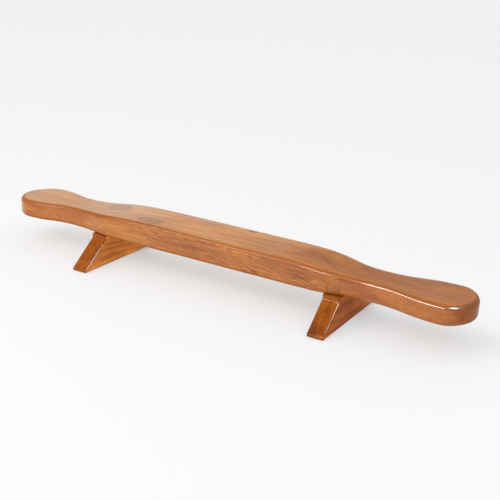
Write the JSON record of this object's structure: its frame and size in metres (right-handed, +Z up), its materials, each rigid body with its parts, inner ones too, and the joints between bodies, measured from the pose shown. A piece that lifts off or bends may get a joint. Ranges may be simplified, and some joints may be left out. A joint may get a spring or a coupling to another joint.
{
  "type": "low wooden balance board on fixed feet",
  "caption": "Long varnished wooden board with a rounded handle at each end, standing level on fixed trapezoid feet.",
  "frame": {"origin": "on the floor, midway between the two ends of the board", "axes": "+X along the board, +Y towards the back, +Z up"},
  "size_m": [1, 0.229, 0.109],
  "materials": {
    "varnished_board": "gloss varnish over stained wood",
    "varnished_foot": "gloss varnish over stained wood, darker than the board",
    "screw_steel": "zinc-plated steel",
    "plug_wood": "satin varnish on end grain"
  },
  "bodies": {
    "root": {"board": "varnished_board", "left_foot": "varnished_foot", "right_foot": "varnished_foot", "foot_screws": "screw_steel", "screw_plugs": "plug_wood"}
  },
  "joints": []
}
